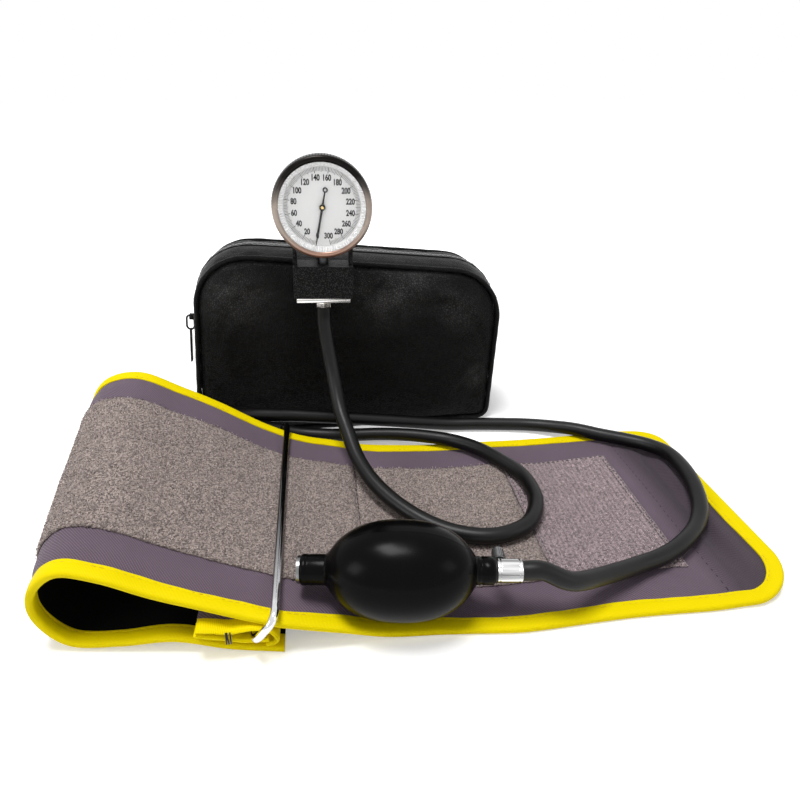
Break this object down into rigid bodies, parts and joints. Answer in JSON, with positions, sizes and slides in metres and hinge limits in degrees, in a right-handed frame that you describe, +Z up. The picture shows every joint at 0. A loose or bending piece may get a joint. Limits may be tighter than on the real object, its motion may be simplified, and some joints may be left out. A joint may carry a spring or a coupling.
{
  "type": "blood pressure kit",
  "caption": "Aneroid blood-pressure kit: arm cuff closed into a loop through its wire ring, rubber bulb with valves, two hoses, dial gauge clipped to a zip pouch",
  "frame": {"origin": "on the floor plane, on the flat underside of the cuff, at the middle of its flat part", "axes": "+X runs along the cuff to its free end, +Y away from the bulb towards the pouch, +Z up"},
  "size_m": [0.3484, 0.2315, 0.1749],
  "materials": {
    "twill": "purple-grey twill weave, matt",
    "lining": "black smooth nylon, matt",
    "binding": "yellow tape, matt with a slight sheen",
    "bladder_rubber": "smooth black rubber",
    "hose_rubber": "satin black rubber",
    "pile": "brushed loop pile, grey-brown",
    "hook": "stiff hook tape, grey",
    "ring_chrome": "polished plated wire",
    "bulb_rubber": "glossy black rubber",
    "valve_chrome": "polished plate",
    "screen_steel": "plain steel",
    "ball_steel": "bright steel",
    "fitting_brass": "turned brass",
    "case_paint": "black crackle paint",
    "bezel_chrome": "polished plate",
    "crystal_glass": "clear",
    "dial_white": "matt white with black marks",
    "pointer_black": "matt black",
    "spring_steel": "tempered spring steel",
    "capsule_alloy": "corrugated bronze",
    "pouch_vinyl": "black grained leathercloth",
    "zip_tape": "black woven tape",
    "zip_teeth": "black nylon",
    "zip_metal": "black enamelled metal"
  },
  "bodies": {
    "root": {"cuff_outer_cloth": "twill", "cuff_lining": "lining", "cuff_binding": "binding", "bladder": "bladder_rubber", "bladder_ports": "hose_rubber", "pile_patch": "pile", "hook_patch": "hook", "ring_hem": "binding", "gauge_hose": "hose_rubber", "bulb_hose": "hose_rubber", "bulb": "bulb_rubber", "intake_valve": "valve_chrome", "intake_screen": "screen_steel", "outlet_valve": "valve_chrome", "hose_barb": "fitting_brass", "neck_washer": "hose_rubber", "gauge_case": "case_paint", "bezel": "bezel_chrome", "crystal": "crystal_glass", "crystal_ring": "dial_white", "dial": "dial_white", "hairspring": "spring_steel", "lower_plate": "fitting_brass", "upper_plate": "fitting_brass", "pillars": "fitting_brass", "movement_screws": "screen_steel", "capsule": "capsule_alloy", "neck_bracket": "case_paint", "bracket_plate": "valve_chrome", "nozzle_nut": "valve_chrome", "nozzle_stem": "fitting_brass", "back_clip": "spring_steel", "clip_rivets": "screen_steel", "pouch_front": "pouch_vinyl", "pouch_back": "pouch_vinyl", "gusset_front": "pouch_vinyl", "gusset_back": "pouch_vinyl", "pouch_base": "pouch_vinyl", "front_piping": "pouch_vinyl", "back_piping": "pouch_vinyl", "zip_tapes": "zip_tape", "front_teeth": "zip_teeth", "back_teeth": "zip_teeth", "zip_stops": "zip_metal"},
    "ring": {"cuff_ring": "ring_chrome"},
    "pointer_set": {"pointer": "pointer_black", "pointer_hub": "fitting_brass", "pinion_arbor": "fitting_brass"},
    "sector": {"sector_gear": "fitting_brass", "sector_shaft": "screen_steel"},
    "push_pin": {"push_pin": "screen_steel"},
    "intake_ball": {"intake_ball": "ball_steel"},
    "outlet_ball": {"outlet_ball": "ball_steel"},
    "bleed_needle": {"bleed_needle": "screen_steel"},
    "bleed_knob": {"bleed_knob": "valve_chrome"},
    "zip_slider": {"zip_slider": "zip_metal"},
    "zip_pull": {"zip_pull": "zip_metal"}
  },
  "joints": [
    {"name": "ring_swing", "type": "hinge", "parent": "root", "child": "ring", "pos_m": [-0.146, 0.002, 0.0118], "axis": [0, -1, 0], "range_deg": [0, 15]},
    {"name": "pointer_spin", "type": "hinge", "parent": "root", "child": "pointer_set", "pos_m": [-0.108, 0.085, 0.1486], "axis": [0, 1, 0], "range_deg": [0, 337.5]},
    {"name": "sector_swing", "type": "hinge", "parent": "root", "child": "sector", "pos_m": [-0.09927, 0.0906, 0.16231], "axis": [0, -1, 0], "range_deg": [0, 28.12]},
    {"name": "push_pin_slide", "type": "slide", "parent": "root", "child": "push_pin", "axis": [0, -1, 0], "range_m": [0, 0.0015], "stiffness_N_per_m": 200, "springref_m": -0.00015},
    {"name": "intake_ball_slide", "type": "slide", "parent": "root", "child": "intake_ball", "axis": [0.9903, -0.1392, 0], "range_m": [0, 0.001]},
    {"name": "outlet_ball_slide", "type": "slide", "parent": "root", "child": "outlet_ball", "axis": [0.9903, -0.1392, 0], "range_m": [0, 0.001]},
    {"name": "bleed_needle_slide", "type": "slide", "parent": "root", "child": "bleed_needle", "axis": [0.1392, 0.9903, 0], "range_m": [0, 0.001]},
    {"name": "bleed_knob_turn", "type": "hinge", "parent": "bleed_needle", "child": "bleed_knob", "pos_m": [-0.04235, -0.05491, 0.027], "axis": [0.1392, 0.9903, 0], "range_deg": [0, 720]},
    {"name": "zip_slide", "type": "slide", "parent": "root", "child": "zip_slider", "axis": [0.1214, 0, 0.9926], "range_m": [-0.03, 0.004]},
    {"name": "zip_pull_swing", "type": "hinge", "parent": "zip_slider", "child": "zip_pull", "pos_m": [-0.19389, 0.1305, 0.07523], "axis": [0, 1, 0], "range_deg": [0, 80]}
  ],
  "couplings": [
    {"joint": "sector_swing", "follows": "push_pin_slide", "rad_per_m": 327.25},
    {"joint": "pointer_spin", "follows": "push_pin_slide", "rad_per_m": 3927},
    {"joint": "bleed_knob_turn", "follows": "bleed_needle_slide", "rad_per_m": 12566}
  ]
}
